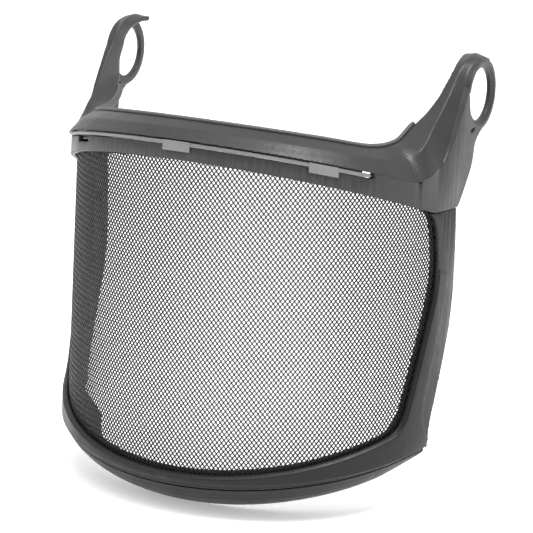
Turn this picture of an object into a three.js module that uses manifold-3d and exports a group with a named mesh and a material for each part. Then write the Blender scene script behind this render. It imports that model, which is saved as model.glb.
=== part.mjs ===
// Wire-mesh face shield: a moulded bracket with two eyelet arms carries a half-round screen, in which a
// woven wire mesh is clamped between an outer and an inner plastic frame.
// Millimetres. +X is the wearer's left, -Y the front, +Z up. The origin is the middle of the eyelets'
// common axis, about which the whole visor swings on a helmet.

import * as THREE from 'three';
import { mergeVertices } from 'three/addons/utils/BufferGeometryUtils.js';
import Module from 'manifold-3d';

const wasm = await Module();
wasm.setup();

// ---- Driving dimensions ----

const MESH_RADIUS = 101.5; // plan radius of the wire mesh
const FRONT_Y = -122; // front of the mesh, ahead of the eyelet axis
const AXIS_Y = FRONT_Y + MESH_RADIUS; // centre line of the half-round screen
const MESH_THICKNESS = 0.6;
const MESH_BORDER = 4.6; // width of mesh clamped all round the window
const GAP = 0.3; // clearance between neighbouring pieces

const WALL_OUTSIDE = 105; // outer face of the bracket's wall and arms, from the mid-plane
const WALL_INSIDE = 102.3;
const FRAME_OUTSIDE = 104.1;
const FRAME_INSIDE = MESH_RADIUS + MESH_THICKNESS / 2 + GAP;
const RETAINER_OUTSIDE = MESH_RADIUS - MESH_THICKNESS / 2 - GAP;
const RETAINER_INSIDE = 98.6;
const RETAINER_LIP = 0.8; // the retainer shows this far past the outer frame's lower edge

const WINDOW_TOP = -30.8; // top edge of the window at the front
const WINDOW_TOP_SLOPE = -0.306; // its rise per millimetre towards the wearer
const WINDOW_BOTTOM = -185.7;
const WINDOW_BOTTOM_SLOPE = 0.33;
const GROOVE_Z = -192.4; // parting line under the outer frame
const GROOVE_SLOPE = 0.19;
const BAND_BOTTOM = -189.3; // lower edge of the outer frame's flat band, above its chamfer
const BAND_BOTTOM_SLOPE = 0.16;
const PANEL_OUTSIDE = 105; // face of the raised band that runs under and behind the window
const CHIN_RADIUS = 91.3; // plan radius of the chin lip's free edge
const CHIN_CENTRE_Y = -5.8; // centre of that edge's plan arc
const CHIN_Z = -207.9; // height of the free edge at the front
const CHIN_RISE = 29.2; // its climb from the front to a quarter turn
const CHIN_THICKNESS = 2.2;
const LEDGE_Z = -22.1; // underside of the brow bar
const LEDGE_SLOPE = -0.265;
const BAND_STEP = 1.6; // the slot between the brow bar and the band below it
const SLOT_END_Y = -81.7; // where the slot ends on each side
const BAND_RUN_ON = 1.2; // how far the band then rises into the brim, beyond the slot's ends
const SEAM_Z = -54.6; // where the bracket's wall ends and the outer frame begins

const BRIM_RADIUS = 106.6; // plan radius of the brow bar's lower front edge
const CREASE_RADIUS = 100.5;
const CREST_RADIUS = 93.5; // plan radius of the brow bar's top edge
const CREST_Z = -10.2; // height of the top edge, where it would meet the front
const CREST_SLOPE = -0.22;
const CREASE_SHARE = 0.62; // height of the crease between brim and crest
const BAR_HALF_ANGLE = 56; // the bar is a plain arc over this half angle, in degrees
const BAR_THICKNESS = 2.5;
const BRIM_WIDTH = 4.2; // flat underside of the brim

const EYELET_HOLE_RADIUS = 13.5;
const EYELET_RADIUS = 18;
const COLLAR_STAND = 0.9; // the eyelet's collar stands this far in from the arm
const RECESS_RADIUS = 15.3;
const RECESS_DEPTH = 0.9;

const RAIL_INSIDE = 96;
const RAIL_OUTSIDE = 105.6;
const RAIL_THICKNESS = 1.6;
const RAIL_HALF_ANGLE = 53;
const TAB_ANGLE = 39.7; // plan angle between the rail's tabs, in degrees
const TAB_HALF_WIDTH_ANGLE = 4;
const TAB_DROP = 3; // how far the tabs hang over the band
const TAB_OUTSIDE = 106.4;
const RIB_INSIDE = 97.2; // upright rib along the rail, behind the slot
const RIB_OUTSIDE = 98.8;
const RIB_HEIGHT = 3.5;

const SEAL_WIDTH = 4.2;
const SEAL_HEIGHT = 2.5;
const FLANGE_STEPS = 5; // stations between neighbouring sections of the flange
const SEAL_RUN_ON = 19; // stations by which the seal runs on past the plain arc of the bar

const STAKE_RADIUS = 1.4;
const STAKE_HEAD_RADIUS = 2.6;
const STAKE_HEAD_HEIGHT = 1.3;

const ARC_STEPS = 60; // facets round the half circle
const BIG = 150; // reach of the cutting prisms

// ---- Geometry helpers ----

const radians = THREE.MathUtils.degToRad;

function toSolid(geometry) {
  geometry.deleteAttribute('normal');
  geometry.deleteAttribute('uv');
  const merged = mergeVertices(geometry, 1e-4);
  const vertProperties = new Float32Array(merged.attributes.position.array);
  const triVerts = new Uint32Array(merged.index.array);
  return new wasm.Manifold(new wasm.Mesh({ numProp: 3, vertProperties, triVerts }));
}

function toGeometry(solid) {
  const mesh = solid.getMesh();
  const geometry = new THREE.BufferGeometry();
  geometry.setAttribute('position', new THREE.BufferAttribute(new Float32Array(mesh.vertProperties), 3));
  geometry.setIndex(new THREE.BufferAttribute(new Uint32Array(mesh.triVerts), 1));
  return geometry;
}

// Point on the screen's plan at one radius and plan angle, which is zero at the front.
function onPlan(radius, angle, z) {
  return new THREE.Vector3(radius * Math.sin(angle), AXIS_Y - radius * Math.cos(angle), z);
}

// Plan curve of the screen: a half circle with a straight tail at each end.
function planCurve(radius, tail) {
  const points = [new THREE.Vector2(-radius, AXIS_Y + tail)];
  for (let i = 0; i <= ARC_STEPS; i += 1) {
    const point = onPlan(radius, Math.PI * (i / ARC_STEPS - 0.5), 0);
    points.push(new THREE.Vector2(point.x, point.y));
  }
  points.push(new THREE.Vector2(radius, AXIS_Y + tail));
  return points;
}

// Upright wall between two plan radii.
function wall(inside, outside, tail, low, high) {
  const outline = [...planCurve(outside, tail), ...planCurve(inside, tail).reverse()];
  const settings = { depth: high - low, bevelEnabled: false };
  const geometry = new THREE.ExtrudeGeometry(new THREE.Shape(outline), settings);
  geometry.translate(0, 0, low);
  return toSolid(geometry);
}

// Prism along X from an outline in the side view, whose points are (y, z).
function sidePrism(shape, low = -BIG, high = BIG) {
  const settings = { depth: high - low, bevelEnabled: false, curveSegments: 10 };
  const geometry = new THREE.ExtrudeGeometry(shape, settings);
  const alongY = new THREE.Vector3(0, 1, 0);
  const alongZ = new THREE.Vector3(0, 0, 1);
  const alongX = new THREE.Vector3(1, 0, 0);
  geometry.applyMatrix4(new THREE.Matrix4().makeBasis(alongY, alongZ, alongX));
  geometry.translate(low, 0, 0);
  return toSolid(geometry);
}

// Closed outline through corners [y, z, rounding].
function roundedShape(corners) {
  const shape = new THREE.Shape();
  corners.forEach(([y, z, rounding = 0], i) => {
    const corner = new THREE.Vector2(y, z);
    const [beforeY, beforeZ] = corners[(i + corners.length - 1) % corners.length];
    const [afterY, afterZ] = corners[(i + 1) % corners.length];
    const start = new THREE.Vector2(beforeY, beforeZ).sub(corner).setLength(rounding).add(corner);
    const end = new THREE.Vector2(afterY, afterZ).sub(corner).setLength(rounding).add(corner);
    if (i === 0) shape.moveTo(start.x, start.y);
    else shape.lineTo(start.x, start.y);
    if (rounding > 0) shape.quadraticCurveTo(y, z, end.x, end.y);
  });
  shape.closePath();
  return shape;
}

// Solid between two paired surfaces, each given as rows of points, one row per station. Stations run
// from the wearer's right to left and rows run upwards, with the front surface outside.
function skinnedSolid(stations) {
  const rowLength = stations[0].front.length;
  const positions = [];
  const index = [];
  stations.forEach(({ front, back }) => {
    [...front, ...back].forEach((point) => positions.push(point.x, point.y, point.z));
  });
  const at = (station, side, i) => (2 * station + side) * rowLength + i;
  const quad = (a, b, c, d) => index.push(a, b, c, a, c, d);
  const last = rowLength - 1;
  for (let s = 0; s < stations.length - 1; s += 1) {
    for (let i = 0; i < last; i += 1) {
      quad(at(s, 0, i), at(s + 1, 0, i), at(s + 1, 0, i + 1), at(s, 0, i + 1));
      quad(at(s, 1, i), at(s, 1, i + 1), at(s + 1, 1, i + 1), at(s + 1, 1, i));
    }
    quad(at(s, 0, 0), at(s, 1, 0), at(s + 1, 1, 0), at(s + 1, 0, 0));
    quad(at(s, 0, last), at(s + 1, 0, last), at(s + 1, 1, last), at(s, 1, last));
  }
  const end = stations.length - 1;
  for (let i = 0; i < last; i += 1) {
    quad(at(0, 0, i), at(0, 0, i + 1), at(0, 1, i + 1), at(0, 1, i));
    quad(at(end, 0, i), at(end, 1, i), at(end, 1, i + 1), at(end, 0, i + 1));
  }
  const geometry = new THREE.BufferGeometry();
  geometry.setAttribute('position', new THREE.Float32BufferAttribute(positions, 3));
  geometry.setIndex(index);
  return toSolid(geometry);
}

// Bar round the screen whose section, as paired [radius, z] points, may change with the plan angle.
function sweptBar(halfAngle, sectionAt, midAngle = 0) {
  const steps = Math.max(4, Math.round((halfAngle * ARC_STEPS) / 90));
  const stations = [];
  for (let i = 0; i <= steps; i += 1) {
    const angle = radians(midAngle + halfAngle * ((2 * i) / steps - 1));
    const place = (points) => points.map(([radius, z]) => onPlan(radius, angle, z(onPlan(radius, angle, 0).y)));
    const { front, back } = sectionAt(angle);
    stations.push({ front: place(front), back: place(back) });
  }
  return skinnedSolid(stations);
}

// Round bar whose axis points out of the screen at one plan angle.
function radialBar(radius, from, to, angle, z) {
  const geometry = new THREE.CylinderGeometry(radius, radius, to - from, 16);
  geometry.translate(0, -(from + to) / 2, 0);
  geometry.rotateZ(angle);
  geometry.translate(0, AXIS_Y, z);
  return toSolid(geometry);
}

function unite(solids) {
  return solids.reduce((whole, solid) => whole.add(solid));
}

function mirrored(point) {
  return new THREE.Vector3(-point.x, point.y, point.z);
}

function slopeLine(frontHeight, slope, shift = 0) {
  return (y) => frontHeight + slope * (y - FRONT_Y) + shift;
}

// ---- Side-view lines and outlines ----

const AHEAD = FRONT_Y - 20; // a side-view line in front of the whole visor

const windowTop = slopeLine(WINDOW_TOP, WINDOW_TOP_SLOPE);
const windowBottom = slopeLine(WINDOW_BOTTOM, WINDOW_BOTTOM_SLOPE);
const bandTop = slopeLine(LEDGE_Z, LEDGE_SLOPE, -BAND_STEP);
const groove = slopeLine(GROOVE_Z, GROOVE_SLOPE);
const bandBottom = slopeLine(BAND_BOTTOM, BAND_BOTTOM_SLOPE);

// Window outline, grown outwards by a margin, which may differ along the top and the rear.
function windowShape(margin = 0, topMargin = margin, rearMargin = margin) {
  return roundedShape([
    [AHEAD, windowBottom(AHEAD) - margin],
    [-57 + rearMargin, windowBottom(-57) - margin, 10],
    [-35 + rearMargin, -87.5, 17],
    [-41.8 + rearMargin, windowTop(-41.8) + topMargin, 10],
    [AHEAD, windowTop(AHEAD) + topMargin],
  ]);
}

// Rear edge of the screen's side, from the seam down to the rear bottom corner.
const REAR_EDGE = [
  [-21.6, -54.6],
  [-19.3, -72, 8],
  [-17.9, -109, 16],
  [-35.6, -166, 4],
];

function screenShape(bottomLine, topLine, margin = 0) {
  const rear = REAR_EDGE.map(([y, z, rounding]) => [y - margin, z, rounding]);
  const [rearTop, ...below] = rear;
  return roundedShape([
    [AHEAD, bottomLine(AHEAD)],
    [-35.2 - margin, bottomLine(-35.2), 3],
    ...below.reverse(),
    [rearTop[0], Math.min(topLine(rearTop[0]), SEAM_Z + 12)],
    [AHEAD, topLine(AHEAD)],
  ]);
}

// Raised band of the outer frame: under the window, then up behind it as a rib.
function panelShape() {
  return roundedShape([
    [AHEAD, bandBottom(AHEAD)],
    [-37, bandBottom(-37)],
    [-40.6, -166.3],
    [-44.6, -158.4, 4],
    [-33.8, -117.3, 8],
    [-26, -88.4, 4],
    [-38, -84],
    [-75, -100],
    [AHEAD, -100],
  ]);
}

// ---- Stakes: pins of the outer parts, headed over inside the retainer ----

const chinStakeHeight = (y) => (windowBottom(y) + groove(y)) / 2;
const bandStakeHeight = (y) => windowTop(y) + 3.2;
const CHIN_STAKES = [-60, -40, -20, 0, 20, 40, 60].map((angle) => ({ angle, heightAt: chinStakeHeight }));
const BAND_STAKES = [-60, -20, 20, 60].map((angle) => ({ angle, heightAt: bandStakeHeight }));
const SIDE_STAKES = [-1, 1].flatMap((side) => [
  { angle: side * 85, heightAt: () => -75 },
  { angle: side * 82, heightAt: () => -108 },
  { angle: side * 78, heightAt: () => -142 },
]);
const ARM_STAKES = [-1, 1].map((side) => ({ angle: side * 84, heightAt: () => -52.8 }));

function stakeZ({ angle, heightAt }) {
  return heightAt(onPlan(MESH_RADIUS, radians(angle), 0).y);
}

// Pins with their heads, rooted in the wall outside the mesh.
function stakes(list, rootRadius) {
  const headOuter = RETAINER_INSIDE - GAP;
  return unite(list.flatMap((stake) => [
    radialBar(STAKE_RADIUS, headOuter - STAKE_HEAD_HEIGHT, rootRadius, radians(stake.angle), stakeZ(stake)),
    radialBar(STAKE_HEAD_RADIUS, headOuter - STAKE_HEAD_HEIGHT, headOuter, radians(stake.angle), stakeZ(stake)),
  ]));
}

function stakeHoles(list) {
  return unite(list.map((stake) => (
    radialBar(STAKE_RADIUS + GAP, RETAINER_INSIDE - 2, FRAME_INSIDE + 1, radians(stake.angle), stakeZ(stake))
  )));
}

const ALL_STAKES = [...CHIN_STAKES, ...BAND_STAKES, ...SIDE_STAKES, ...ARM_STAKES];

// ---- Bracket ----

// Sections of the flange that runs from the bar up each arm: brim, crease and crest points.
const ARM_SECTIONS = [
  [[98.9, -60.4, -37.5], [92.2, -57, -28], [81.5, -60, -21.4]],
  [[102.6, -50, -35], [95.5, -51.5, -23], [83, -49, -19.8]],
  [[102.5, -40.2, -30.7], [96.3, -46, -19], [84, -41.5, -15.8]],
  [[103, -34.6, -26], [96.3, -41, -14.5], [86, -36.3, -11.5]],
  [[103.2, -29.2, -17], [96.8, -36.5, -9.4], [88, -31.5, -8]],
  [[103.2, -25.1, -9.7], [97.3, -32, -4.8], [90, -28.5, -4]],
  [[103.3, -20.3, -1.5], [97.8, -27, 0.5], [92, -25.3, 0.6]],
  [[103.4, -15.7, 6], [98, -21.5, 6.5], [93, -21.3, 5.6]],
  [[103.5, -11.8, 11.7], [98.3, -16.8, 12.3], [94, -16.5, 10.9]],
  [[103.7, -8, 15.6], [98.8, -11.2, 16.9], [94, -11.5, 14.9]],
  [[103.9, -4, 18.1], [99, -5, 19.3], [93.5, -5.5, 17.6]],
  [[104.2, 2, 18.7], [99, 2, 20.3], [92.8, 0.5, 19]],
  [[104.4, 9, 17.1], [99, 9.5, 18.5], [92.3, 6, 19.2]],
].map((section) => section.map(([x, y, z]) => new THREE.Vector3(x, y, z)));

function barSection(degrees) {
  const angle = radians(degrees);
  const brim = onPlan(BRIM_RADIUS, angle, 0);
  brim.z = slopeLine(LEDGE_Z, LEDGE_SLOPE, 0.8)(brim.y);
  const crest = onPlan(CREST_RADIUS, angle, 0);
  crest.z = slopeLine(CREST_Z, CREST_SLOPE)(crest.y);
  const crease = onPlan(CREASE_RADIUS, angle, THREE.MathUtils.lerp(brim.z, crest.z, CREASE_SHARE));
  return [brim, crease, crest];
}

function flangeControls() {
  const fronts = ARM_SECTIONS.map((section) => section.map(mirrored)).reverse();
  for (let i = -4; i <= 4; i += 1) fronts.push(barSection((BAR_HALF_ANGLE * i) / 4));
  fronts.push(...ARM_SECTIONS);
  return fronts;
}

// Back of one section: the front moved in by the bar's thickness, square to each facet.
function flangeBack(fronts, i) {
  const before = fronts[Math.max(i - 1, 0)];
  const after = fronts[Math.min(i + 1, fronts.length - 1)];
  const along = after[1].clone().sub(before[1]).normalize();
  const [brim, crease, crest] = fronts[i];
  const inward = (from, to) => along.clone().cross(to.clone().sub(from)).setLength(-BAR_THICKNESS);
  const lower = inward(brim, crease);
  const upper = inward(crease, crest);
  const middle = lower.clone().add(upper).setLength(BAR_THICKNESS);
  const isArm = i < ARM_SECTIONS.length - 1 || i > fronts.length - ARM_SECTIONS.length;
  const radial = new THREE.Vector3(brim.x, brim.y - AXIS_Y, 0).setLength(-BRIM_WIDTH);
  return [
    brim.clone().add(isArm ? lower : radial),
    crease.clone().add(middle),
    crest.clone().add(upper),
  ];
}

function flangeStations(stepsPerControl) {
  const fronts = flangeControls();
  const backs = fronts.map((front, i) => flangeBack(fronts, i));
  const curveOf = (rows, k) => new THREE.CatmullRomCurve3(rows.map((row) => row[k]));
  const frontCurves = [0, 1, 2].map((k) => curveOf(fronts, k));
  const backCurves = [0, 1, 2].map((k) => curveOf(backs, k));
  const steps = (fronts.length - 1) * stepsPerControl;
  const stations = [];
  for (let s = 0; s <= steps; s += 1) {
    const row = (curves) => curves.map((curve) => curve.getPoint(s / steps));
    stations.push({ front: row(frontCurves), back: row(backCurves) });
  }
  return stations;
}

// Side view of the bracket's wall: the band over the window, the cheek behind it and the arm.
function bracketShape() {
  const shape = new THREE.Shape();
  shape.moveTo(AHEAD, bandTop(AHEAD));
  shape.lineTo(SLOT_END_Y, bandTop(SLOT_END_Y));
  shape.lineTo(SLOT_END_Y + 0.3, bandTop(SLOT_END_Y) + BAND_STEP + BAND_RUN_ON);
  shape.lineTo(-56, bandTop(-56) + BAND_STEP + BAND_RUN_ON);
  shape.lineTo(-49, -35.6);
  shape.lineTo(-41.2, -31.4);
  shape.quadraticCurveTo(-35.6, -27, -30.9, -17.9);
  shape.lineTo(-22, -2.4);
  shape.lineTo(-13.8, 10.4);
  shape.quadraticCurveTo(-10, 15.4, -4.4, 17.2);
  shape.absarc(0, 0, EYELET_RADIUS, radians(104), radians(-60), true);
  shape.quadraticCurveTo(-5.5, -20.5, -5.8, -28);
  shape.quadraticCurveTo(-6, -34.5, -10.8, -40.5);
  shape.lineTo(-15.7, -47.2);
  shape.lineTo(REAR_EDGE[0][0], SEAM_Z);
  shape.lineTo(-44.4, SEAM_Z);
  shape.lineTo(AHEAD, windowTop(AHEAD));
  shape.closePath();
  return shape;
}

function discAlongX(radius, low, high) {
  const geometry = new THREE.CylinderGeometry(radius, radius, high - low, 48);
  geometry.rotateZ(Math.PI / 2);
  geometry.translate((low + high) / 2, 0, 0);
  return toSolid(geometry);
}

function bothSides(build) {
  return unite([-1, 1].map(build));
}

function bracket() {
  const bandTopOver = (y) => bandTop(y) + 0.5;
  const body = wall(WALL_INSIDE, WALL_OUTSIDE, 50, -70, 30).intersect(sidePrism(bracketShape()));
  const flange = skinnedSolid(flangeStations(FLANGE_STEPS));
  const collars = bothSides((side) => {
    const ends = [side * (WALL_INSIDE - COLLAR_STAND), side * WALL_OUTSIDE];
    return discAlongX(EYELET_RADIUS, Math.min(...ends), Math.max(...ends));
  });
  const recesses = bothSides((side) => {
    const ends = [side * (WALL_OUTSIDE - RECESS_DEPTH), side * (WALL_OUTSIDE + 5)];
    return discAlongX(RECESS_RADIUS, Math.min(...ends), Math.max(...ends));
  });
  const notchFloor = (y) => bandTop(y) - TAB_DROP;
  const notch = sweptBar(TAB_HALF_WIDTH_ANGLE, () => ({
    front: [[WALL_OUTSIDE + 1, notchFloor], [WALL_OUTSIDE + 1, bandTopOver]],
    back: [[WALL_INSIDE - 1, notchFloor], [WALL_INSIDE - 1, bandTopOver]],
  }), -TAB_ANGLE);
  const nick = sidePrism(roundedShape([[-16, 0.6], [-13, 0.6], [-13, 2.4], [-16, 2.4]]));
  const slot = sidePrism(roundedShape([[-11.5, -18.6], [-6.5, -17.2], [-6.9, -15.6], [-11.9, -17]]));
  return body
    .add(flange)
    .add(collars)
    .add(stakes([...BAND_STAKES, ...ARM_STAKES], WALL_INSIDE + 1))
    .subtract(discAlongX(EYELET_HOLE_RADIUS, -BIG, BIG))
    .subtract(recesses)
    .subtract(notch)
    .subtract(nick)
    .subtract(slot);
}

// ---- Brow seal: soft strip along the bar's top edge, between the arms ----

function browSeal() {
  const stations = flangeStations(FLANGE_STEPS);
  const first = FLANGE_STEPS * ARM_SECTIONS.length - SEAL_RUN_ON;
  const covered = stations.slice(first, stations.length - first);
  return skinnedSolid(covered.map(({ front, back }, i) => {
    const up = front[2].clone().sub(front[1]).normalize();
    const out = front[2].clone().sub(back[2]).normalize();
    const middle = front[2].clone().add(back[2]).multiplyScalar(0.5);
    const isEnd = i === 0 || i === covered.length - 1;
    const height = isEnd ? SEAL_HEIGHT / 2 : SEAL_HEIGHT;
    const place = (share, level) => middle.clone()
      .addScaledVector(out, share * SEAL_WIDTH)
      .addScaledVector(up, GAP + level * height);
    return {
      front: [place(0.5, 0), place(0.5, 0.7), place(0.25, 1)],
      back: [place(-0.5, 0), place(-0.5, 0.7), place(-0.25, 1)],
    };
  }));
}

// ---- Clip rail: light strip in the slot between bar and band, with two tabs hooked over the band;
// the band's notch on the wearer's right is empty ----

function clipRail() {
  const railBottom = slopeLine(LEDGE_Z, LEDGE_SLOPE, 0.35 - RAIL_THICKNESS);
  const railTop = slopeLine(LEDGE_Z, LEDGE_SLOPE, 0.35);
  const tabBottom = (y) => bandTop(y) - TAB_DROP;
  const railBottomOver = (height) => (y) => railBottom(y) + height;
  const rail = sweptBar(RAIL_HALF_ANGLE, () => ({
    front: [[RAIL_OUTSIDE, railBottom], [RAIL_OUTSIDE, railTop]],
    back: [[RAIL_INSIDE, railBottom], [RAIL_INSIDE, railTop]],
  }));
  const rib = sweptBar(RAIL_HALF_ANGLE - 0.6, () => ({
    front: [[RIB_OUTSIDE, railBottomOver(0.5)], [RIB_OUTSIDE, railBottomOver(RIB_HEIGHT)]],
    back: [[RIB_INSIDE, railBottomOver(0.5)], [RIB_INSIDE, railBottomOver(RIB_HEIGHT)]],
  }));
  const tabs = [0, TAB_ANGLE].flatMap((angle) => [
    sweptBar(TAB_HALF_WIDTH_ANGLE, () => ({
      front: [[TAB_OUTSIDE, tabBottom], [TAB_OUTSIDE, railTop]],
      back: [[WALL_OUTSIDE + GAP, tabBottom], [WALL_OUTSIDE + GAP, railTop]],
    }), angle),
    sweptBar(TAB_HALF_WIDTH_ANGLE, () => ({
      front: [[TAB_OUTSIDE, railBottom], [TAB_OUTSIDE, railTop]],
      back: [[RAIL_OUTSIDE - 2, railBottom], [RAIL_OUTSIDE - 2, railTop]],
    }), angle),
  ]);
  return unite([rail, rib, ...tabs]);
}

// ---- Screen: outer frame, mesh and inner frame ----

function outerFrame() {
  const above = (height) => (y) => groove(y) + height;
  const shape = screenShape(above(0.6), () => SEAM_Z - GAP);
  const body = wall(FRAME_INSIDE, FRAME_OUTSIDE, 40, -205, SEAM_Z - GAP)
    .intersect(sidePrism(shape))
    .subtract(sidePrism(windowShape()));
  const panel = wall(FRAME_INSIDE + 0.7, PANEL_OUTSIDE, 40, -205, SEAM_Z - GAP)
    .intersect(sidePrism(panelShape()))
    .subtract(sidePrism(windowShape(0.6)));
  const panelFoot = (y) => bandBottom(y) + 0.5;
  const chamfer = sweptBar(80.4, () => ({
    front: [[103.3, groove], [PANEL_OUTSIDE - 0.1, panelFoot]],
    back: [[FRAME_INSIDE + 0.4, groove], [FRAME_INSIDE + 0.4, panelFoot]],
  }));
  return unite([body, panel, chamfer, stakes([...CHIN_STAKES, ...SIDE_STAKES], FRAME_INSIDE + 1)]);
}

function wireMesh() {
  return wall(MESH_RADIUS - MESH_THICKNESS / 2, MESH_RADIUS + MESH_THICKNESS / 2, 40, -205, 0)
    .intersect(sidePrism(windowShape(MESH_BORDER)))
    .subtract(stakeHoles(ALL_STAKES));
}

// Chin lip: a curved flange turned in under the wearer's chin, running out at the rear corners.
function chinLip() {
  const lipTop = (y) => groove(y) - GAP;
  const reach = 80.4;
  const steps = 56;
  const section = (radius, drop, inset, angle) => {
    const top = onPlan(radius, angle, 0);
    top.z = lipTop(top.y);
    const edge = new THREE.Vector3(CHIN_RADIUS * Math.sin(angle), CHIN_CENTRE_Y - CHIN_RADIUS * Math.cos(angle), 0);
    edge.z = CHIN_Z + CHIN_RISE * (1 - Math.cos(angle)) + drop;
    const bulge = onPlan(radius - 7 + inset, angle, lipTop(top.y) - 11 + drop);
    const foot = onPlan(radius, angle, lipTop(top.y) - CHIN_THICKNESS + drop);
    const share = THREE.MathUtils.smoothstep(Math.abs(THREE.MathUtils.radToDeg(angle)), 62, reach);
    edge.lerp(foot, share);
    bulge.lerp(foot, share);
    const curve = new THREE.QuadraticBezierCurve3(edge, bulge, top);
    return curve.getPoints(6);
  };
  const stations = [];
  for (let i = 0; i <= steps; i += 1) {
    const angle = radians(reach * ((2 * i) / steps - 1));
    stations.push({ front: section(103.4, 0, 0, angle), back: section(98.9, CHIN_THICKNESS, 1.6, angle) });
  }
  return skinnedSolid(stations);
}

function innerFrame() {
  const shape = screenShape((y) => groove(y) - 1, (y) => bandTop(y) - 1, 0.6);
  const body = wall(RETAINER_INSIDE, RETAINER_OUTSIDE, 40, -205, 0)
    .intersect(sidePrism(shape))
    .subtract(sidePrism(windowShape(-RETAINER_LIP, 0.2, 0.6)))
    .subtract(stakeHoles(ALL_STAKES));
  return body.add(chinLip());
}

// ---- Assembly ----

const root = new THREE.Group();
root.name = 'face_shield';

function addPart(name, solid, color, roughness, metalness = 0) {
  const material = new THREE.MeshStandardMaterial({ color, roughness, metalness });
  const mesh = new THREE.Mesh(toGeometry(solid), material);
  mesh.name = name;
  root.add(mesh);
}

addPart('visor_bracket', bracket(), 0x55575a, 0.55);
addPart('brow_seal', browSeal(), 0x3c3d3f, 0.85);
addPart('screen_clip_rail', clipRail(), 0xa9abad, 0.45);
addPart('screen_frame_outer', outerFrame(), 0x1c1d1f, 0.4);
addPart('screen_frame_inner', innerFrame(), 0x17181a, 0.45);
addPart('wire_mesh_screen', wireMesh(), 0x2a2b2d, 0.5, 0.4);

export default root;
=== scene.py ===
"""Looks of the wire-mesh face shield: moulded bracket, framed woven mesh, clip rail and brow seal.
Metres. +X is the wearer's left, -Y the front, +Z up, and the origin is the middle of the eyelets' axis."""

import math

import bpy
import numpy as np
from mathutils import Matrix, Vector


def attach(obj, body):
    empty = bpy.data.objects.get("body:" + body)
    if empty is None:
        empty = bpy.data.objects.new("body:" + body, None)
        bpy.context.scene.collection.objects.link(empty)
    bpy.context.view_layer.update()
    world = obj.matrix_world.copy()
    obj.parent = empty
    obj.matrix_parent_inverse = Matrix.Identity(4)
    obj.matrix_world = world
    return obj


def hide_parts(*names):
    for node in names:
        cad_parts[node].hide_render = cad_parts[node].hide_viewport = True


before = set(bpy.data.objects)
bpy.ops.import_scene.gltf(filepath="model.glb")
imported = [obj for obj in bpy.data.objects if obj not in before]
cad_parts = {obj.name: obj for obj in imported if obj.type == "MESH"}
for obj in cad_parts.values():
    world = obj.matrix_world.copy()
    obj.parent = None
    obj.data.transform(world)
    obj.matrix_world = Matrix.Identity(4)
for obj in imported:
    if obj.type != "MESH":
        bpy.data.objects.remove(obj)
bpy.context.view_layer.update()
MM = 0.001

# The screen's plan and the window's edges, as in the CAD model, in millimetres.
MESH_RADIUS = 101.5
FRONT_Y = -122.0
AXIS_Y = FRONT_Y + MESH_RADIUS
FLOOR_Z = -208.1  # just under the chin lip, the lowest part of the visor
SETTLE_REACH = 0.12  # how far smoothing may have moved a point off its plan radius

# ---- Small helpers ----


def new_object(name, mesh):
    obj = bpy.data.objects.new(name, mesh)
    bpy.context.scene.collection.objects.link(obj)
    return obj


def mesh_from(name, points_mm, faces):
    mesh = bpy.data.meshes.new(name)
    mesh.from_pydata((np.asarray(points_mm) * MM).tolist(), [], faces)
    mesh.validate()
    mesh.polygons.foreach_set("use_smooth", [True] * len(mesh.polygons))
    mesh.update()
    return mesh


def apply_modifiers(obj):
    graph = bpy.context.evaluated_depsgraph_get()
    mesh = bpy.data.meshes.new_from_object(obj.evaluated_get(graph))
    obj.modifiers.clear()
    obj.data = mesh
    return mesh


def settle_on_cylinders(mesh, radii, reach):
    """Moves the points that lie within reach of one of the plan radii exactly onto it."""
    co = np.empty(len(mesh.vertices) * 3)
    mesh.vertices.foreach_get("co", co)
    co = co.reshape(-1, 3)
    y = co[:, 1] - AXIS_Y * MM
    distance = np.hypot(co[:, 0], y)
    for radius in radii:
        near = (np.abs(distance - radius * MM) < reach * MM) & (y < 0)
        scale = radius * MM / distance[near]
        co[near, 0] *= scale
        co[near, 1] = AXIS_Y * MM + y[near] * scale
    mesh.vertices.foreach_set("co", co.ravel())
    mesh.update()


def moulded(node, name, voxel, rounds, radii=(), keep=1.0):
    """A moulded version of a CAD node: the same solid with softened edges and smooth curves.

    voxel is the remeshing step in millimetres, rounds the passes of smoothing and keep the share of
    faces left after thinning out. Faces that belong on the plan radii are put back on them."""
    obj = new_object(name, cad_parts[node].data.copy())
    obj.data.materials.clear()
    remesh = obj.modifiers.new("even", "REMESH")
    remesh.mode = "VOXEL"
    remesh.voxel_size = voxel * MM
    smooth = obj.modifiers.new("soften", "SMOOTH")
    smooth.factor = 0.5
    smooth.iterations = rounds
    mesh = apply_modifiers(obj)
    settle_on_cylinders(mesh, radii, SETTLE_REACH)
    if keep < 1:
        thin = obj.modifiers.new("thin", "DECIMATE")
        thin.ratio = keep
        mesh = apply_modifiers(obj)
    mesh.polygons.foreach_set("use_smooth", [True] * len(mesh.polygons))
    mesh.update()
    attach(obj, "root")
    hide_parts(node)
    return obj


# ---- Materials ----


def principled(name):
    material = bpy.data.materials.new(name)
    material.use_nodes = True
    tree = material.node_tree
    return material, tree, tree.nodes["Principled BSDF"]


def noise(tree, scale, detail=3.0, roughness=0.55):
    place = tree.nodes.new("ShaderNodeTexCoord")
    node = tree.nodes.new("ShaderNodeTexNoise")
    node.inputs["Scale"].default_value = scale
    node.inputs["Detail"].default_value = detail
    node.inputs["Roughness"].default_value = roughness
    tree.links.new(place.outputs["Object"], node.inputs["Vector"])
    return node.outputs["Fac"]


def ranged(tree, value, low, high, from_low=0.3, from_high=0.7):
    node = tree.nodes.new("ShaderNodeMapRange")
    node.inputs["From Min"].default_value = from_low
    node.inputs["From Max"].default_value = from_high
    node.inputs["To Min"].default_value = low
    node.inputs["To Max"].default_value = high
    tree.links.new(value, node.inputs["Value"])
    return node.outputs["Result"]


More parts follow.
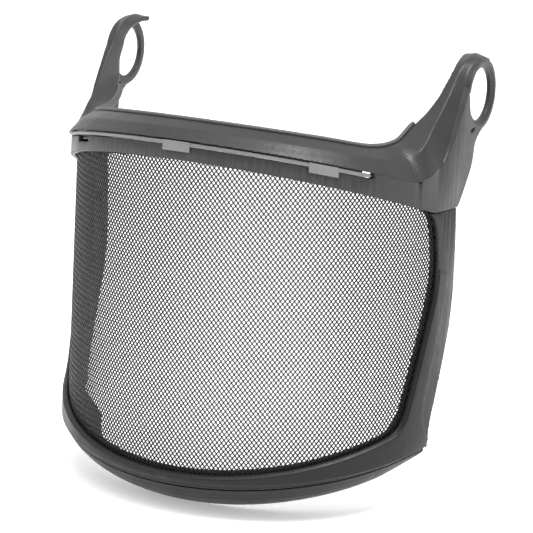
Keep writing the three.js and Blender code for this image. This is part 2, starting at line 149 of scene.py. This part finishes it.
def mixed(tree, factor, first, second):
    node = tree.nodes.new("ShaderNodeMix")
    node.data_type = "RGBA"
    node.inputs["A"].default_value = (*first, 1)
    node.inputs["B"].default_value = (*second, 1)
    tree.links.new(factor, node.inputs["Factor"])
    return node


def plastic(name, colour, roughness, grain_mm=0.35, grain_depth=0.02, edge_wear_and_highlight=0.35, specular=0.5):
    """Moulded plastic: fine grain, cloudy patches of tone and gloss, and edges paler than the faces,
    partly as wear and partly as a painted highlight.
    """
    material, tree, shader = principled(name)
    links = tree.links
    base = np.array(colour)
    cloud = noise(tree, 45.0, 4.0)
    body = mixed(tree, ranged(tree, cloud, 0, 1), tuple(base * 0.9), tuple(base * 1.1))
    speck = noise(tree, 1 / (grain_mm * MM), 2.0)
    grain = tree.nodes.new("ShaderNodeMix")
    grain.data_type = "RGBA"
    grain.blend_type = "MULTIPLY"
    grain.inputs["Factor"].default_value = 1.0
    tone = mixed(tree, ranged(tree, speck, 0, 1, 0.35, 0.65), (0.84,) * 3, (1.16,) * 3)
    links.new(body.outputs["Result"], grain.inputs["A"])
    links.new(tone.outputs["Result"], grain.inputs["B"])
    # Convex edges are painted paler: partly rubbed wear, partly a painted highlight along the edges.
    geometry = tree.nodes.new("ShaderNodeNewGeometry")
    edge = ranged(tree, geometry.outputs["Pointiness"], 0, edge_wear_and_highlight, 0.52, 0.62)
    edge_wear_and_highlight_mix = tree.nodes.new("ShaderNodeMix")
    edge_wear_and_highlight_mix.data_type = "RGBA"
    edge_wear_and_highlight_mix.inputs["B"].default_value = (*(base * 1.7 + 0.03), 1)
    links.new(edge, edge_wear_and_highlight_mix.inputs["Factor"])
    links.new(grain.outputs["Result"], edge_wear_and_highlight_mix.inputs["A"])
    links.new(edge_wear_and_highlight_mix.outputs["Result"], shader.inputs["Base Color"])
    patches = noise(tree, 90.0, 3.0)
    links.new(ranged(tree, patches, roughness - 0.06, roughness + 0.06), shader.inputs["Roughness"])
    shader.inputs["Specular IOR Level"].default_value = specular
    bump = tree.nodes.new("ShaderNodeBump")
    bump.inputs["Strength"].default_value = 0.6
    bump.inputs["Distance"].default_value = grain_depth * MM
    links.new(speck, bump.inputs["Height"])
    links.new(bump.outputs["Normal"], shader.inputs["Normal"])
    return material


def coated_wire(name):
    """Black coated steel wire, slightly uneven in tone and gloss."""
    material, tree, shader = principled(name)
    cloud = noise(tree, 160.0, 3.0)
    colour = mixed(tree, ranged(tree, cloud, 0, 1), (0.004, 0.004, 0.0042), (0.009, 0.009, 0.0094))
    tree.links.new(colour.outputs["Result"], shader.inputs["Base Color"])
    tree.links.new(ranged(tree, noise(tree, 900.0), 0.28, 0.45), shader.inputs["Roughness"])
    shader.inputs["Specular IOR Level"].default_value = 0.25
    return material


BRACKET = plastic("bracket_plastic", (0.026, 0.0265, 0.028), 0.38, specular=0.35)
# The seal is the bar's grey in life; its lighter colour here is painted light that lifts the shade on its
# face.
SEAL = plastic("seal_rubber", (0.08, 0.081, 0.084), 0.5, 0.5, 0.03, 0.15, specular=0.35)
# The rail's pale grey is partly its own lighter tone and partly a painted highlight on its lip and tabs,
# which face the light.
RAIL = plastic("rail_plastic", (0.17, 0.173, 0.177), 0.4, 0.3, 0.012, 0.2)
# The outer frame's strong edge lightening is a painted highlight along its chamfers and the bead round the
# window.
FRAME = plastic("frame_plastic", (0.008, 0.0082, 0.0086), 0.36, 0.35, 0.015, 0.8, specular=0.28)
RETAINER = plastic("retainer_plastic", (0.008, 0.0082, 0.0086), 0.4, 0.35, 0.015, 0.25, specular=0.3)
WIRE = coated_wire("mesh_steel")


def finish_piece(obj, material):
    obj.data.materials.clear()
    obj.data.materials.append(material)


# ---- Moulded pieces ----

# Plan radii of the faces, as in the CAD model, outer face first.
WALL_RADII = (105.0, 102.3)
RAIL_RADII = (105.6, 96.0)
OUTER_FRAME_RADII = (105.0, 104.1, 102.1)
INNER_FRAME_RADII = (100.9, 98.6)

bracket = moulded("visor_bracket", "bracket_shell", 0.42, 7, WALL_RADII, 0.36)
finish_piece(bracket, BRACKET)
seal = moulded("brow_seal", "brow_seal_strip", 0.35, 10, (), 0.5)
finish_piece(seal, SEAL)
rail = moulded("screen_clip_rail", "clip_rail_strip", 0.25, 5, RAIL_RADII, 0.5)
finish_piece(rail, RAIL)
outer = moulded("screen_frame_outer", "outer_frame_shell", 0.38, 6, OUTER_FRAME_RADII, 0.45)
finish_piece(outer, FRAME)
inner = moulded("screen_frame_inner", "inner_frame_shell", 0.4, 6, INNER_FRAME_RADII, 0.36)
finish_piece(inner, RETAINER)

# ---- Woven wire mesh ----

CELL_WIDTH = 2.29
CELL_HEIGHT = 2.93
WIRE_HALF_WIDTH = 0.32  # broader than real wire of this weave, for the mesh's dark tone
WIRE_HALF_DEPTH = 0.16
WEAVE_RISE = 0.12  # how far a wire passes outside or inside the mesh's middle surface
MESH_BORDER = 4.0  # width of mesh under the frame round the window
MESH_HALF_LENGTH = 170  # along the arc, more than the window needs
MESH_DROP = 200  # below the eyelet axis, more than the window needs

# The window's edges in the side view: bottom, lower rear, upper rear and top, each from (y, z) to (y, z).
WINDOW_EDGES = (
    ((-142.0, -192.3), (-57.0, -164.25)),
    ((-57.0, -164.25), (-35.0, -87.5)),
    ((-35.0, -87.5), (-41.8, -55.3)),
    ((-41.8, -55.3), (-142.0, -24.7)),
)


def in_window(y, z):
    """Whether a point of the screen lies in the window or under the frame round it."""
    for (y0, z0), (y1, z1) in WINDOW_EDGES:
        run, rise = y1 - y0, z1 - z0
        inward = ((z - z0) * run - (y - y0) * rise) / math.hypot(run, rise)
        if inward < -MESH_BORDER:
            return False
    return True


def weave_runs(direction):
    """Runs of neighbouring crossings (column, row) along the wires that rise to one side."""
    columns = int(MESH_HALF_LENGTH / (CELL_WIDTH / 2))
    rows = int(MESH_DROP / (CELL_HEIGHT / 2))
    runs = []
    for start in range(-columns - rows, columns + rows + 1):
        run = []
        for row in range(-rows, 1):
            column = 2 * start + direction * row
            theta = column * CELL_WIDTH / 2 / MESH_RADIUS
            inside = abs(theta) < math.pi / 2 and in_window(
                AXIS_Y - MESH_RADIUS * math.cos(theta), row * CELL_HEIGHT / 2
            )
            if inside:
                run.append((column, row))
            elif run:
                runs.append(run)
                run = []
        if len(run) > 2:
            runs.append(run)
    return [run for run in runs if len(run) > 2]


def wires(name, direction):
    """All the wires of one direction of the weave, as flat bars that pass over and under the others."""
    points, faces = [], []
    for run in weave_runs(direction):
        crossings = np.array(run, float)
        theta = crossings[:, 0] * CELL_WIDTH / 2 / MESH_RADIUS
        over = np.where(np.mod(crossings[:, 0], 2) == 0, 1.0, -1.0) * direction
        radius = MESH_RADIUS + over * WEAVE_RISE
        middle = np.stack([radius * np.sin(theta), AXIS_Y - radius * np.cos(theta),
                           crossings[:, 1] * CELL_HEIGHT / 2], 1)
        outward = np.stack([np.sin(theta), -np.cos(theta), np.zeros_like(theta)], 1)
        along = np.gradient(middle, axis=0)
        along /= np.linalg.norm(along, axis=1)[:, None]
        across = np.cross(along, outward)
        across /= np.linalg.norm(across, axis=1)[:, None]
        lift = np.cross(across, along)
        first = len(points)
        for m, a, l in zip(middle, across, lift):
            for side, face in ((1, 1), (-1, 1), (-1, -1), (1, -1)):
                points.append(m + side * WIRE_HALF_WIDTH * a + face * WIRE_HALF_DEPTH * l)
        for k in range(len(run) - 1):
            b = first + 4 * k
            for turn in range(4):
                n = (turn + 1) % 4
                faces.append((b + turn, b + 4 + turn, b + 4 + n, b + n))
        last = first + 4 * (len(run) - 1)
        faces.append((first, first + 1, first + 2, first + 3))
        faces.append((last + 3, last + 2, last + 1, last))
    obj = new_object(name, mesh_from(name, points, faces))
    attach(obj, "root")
    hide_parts("wire_mesh_screen")
    finish_piece(obj, WIRE)


wires("mesh_wires_rising", 1)
wires("mesh_wires_falling", -1)

# ---- Floor, light and camera ----

FLOOR_GLOW = 0.35  # the floor is a lit white table
FLOOR_REACH = 9000.0


def pale_floor():
    material, tree, shader = principled("pale_floor")
    cloud = noise(tree, 3.0, 2.0)
    colour = mixed(tree, ranged(tree, cloud, 0, 1), (0.93, 0.93, 0.93), (0.94, 0.94, 0.94))
    tree.links.new(colour.outputs["Result"], shader.inputs["Base Color"])
    shader.inputs["Roughness"].default_value = 0.9
    shader.inputs["Specular IOR Level"].default_value = 0.1
    shader.inputs["Emission Color"].default_value = (1, 1, 1, 1)
    shader.inputs["Emission Strength"].default_value = FLOOR_GLOW
    return material


corners = [(x * FLOOR_REACH, y * FLOOR_REACH, FLOOR_Z) for x, y in ((-1, -1), (1, -1), (1, 1), (-1, 1))]
floor = new_object("floor", mesh_from("floor", corners, [(0, 1, 2, 3)]))
floor.data.materials.append(pale_floor())

BRIGHT_WAY = (-0.25, 0.5, 0.9)  # the white room is brightest overhead and behind the visor
DIM_SIDE, BRIGHT_SIDE = 0.4, 1.15
LIT_POINT = Vector((0, -0.06, -0.08))  # near the middle of the visor


def studio_world():
    world = bpy.data.worlds.new("studio")
    world.use_nodes = True
    tree = world.node_tree
    place = tree.nodes.new("ShaderNodeTexCoord")
    facing = tree.nodes.new("ShaderNodeVectorMath")
    facing.operation = "DOT_PRODUCT"
    facing.inputs[1].default_value = Vector(BRIGHT_WAY).normalized()
    tree.links.new(place.outputs["Generated"], facing.inputs[0])
    level = ranged(tree, facing.outputs["Value"], DIM_SIDE, BRIGHT_SIDE, -1.0, 1.0)
    background = tree.nodes["Background"]
    background.inputs["Color"].default_value = (1, 1, 1, 1)
    tree.links.new(level, background.inputs["Strength"])
    return world


bpy.context.scene.world = studio_world()


def softbox(name, azimuth, elevation, distance, size, power):
    """Area light aimed at the middle of the visor. Azimuth 0 is in front of it and 90 to its +X side."""
    data = bpy.data.lights.new(name, "AREA")
    data.shape = "RECTANGLE"
    data.size, data.size_y = size
    data.energy = power
    light = bpy.data.objects.new(name, data)
    bpy.context.scene.collection.objects.link(light)
    a, e = math.radians(azimuth), math.radians(elevation)
    way = Vector((math.sin(a) * math.cos(e), -math.cos(a) * math.cos(e), math.sin(e)))
    light.location = LIT_POINT + way * distance
    light.rotation_euler = (-way).to_track_quat("-Z", "Y").to_euler()
    return light


softbox("right_softbox", 76, 66, 1.5, (0.4, 0.5), 15)
softbox("left_softbox", -50, 35, 1.5, (0.7, 1.1), 3)
softbox("top_softbox", 5, 70, 1.6, (1.2, 0.8), 8)

CAMERA_PLACE = Vector((580.3, -1181.1, 185.7))
CAMERA_LENS = 171.6
RIGHT = Vector((0.88775, 0.45742, 0.05157))
UP = Vector((-0.14364, 0.16884, 0.97511))
FORWARD = Vector((-0.43734, 0.87307, -0.21559))

camera_data = bpy.data.cameras.new("camera")
camera_data.sensor_width = 36.0
camera_data.lens = CAMERA_LENS
camera_data.clip_end = 100.0
camera = bpy.data.objects.new("camera", camera_data)
bpy.context.scene.collection.objects.link(camera)
turn = Matrix((RIGHT, UP, -FORWARD)).transposed().to_4x4()
camera.matrix_world = Matrix.Translation(CAMERA_PLACE * MM) @ turn
bpy.context.scene.camera = camera
bpy.context.scene.view_settings.view_transform = "Standard"
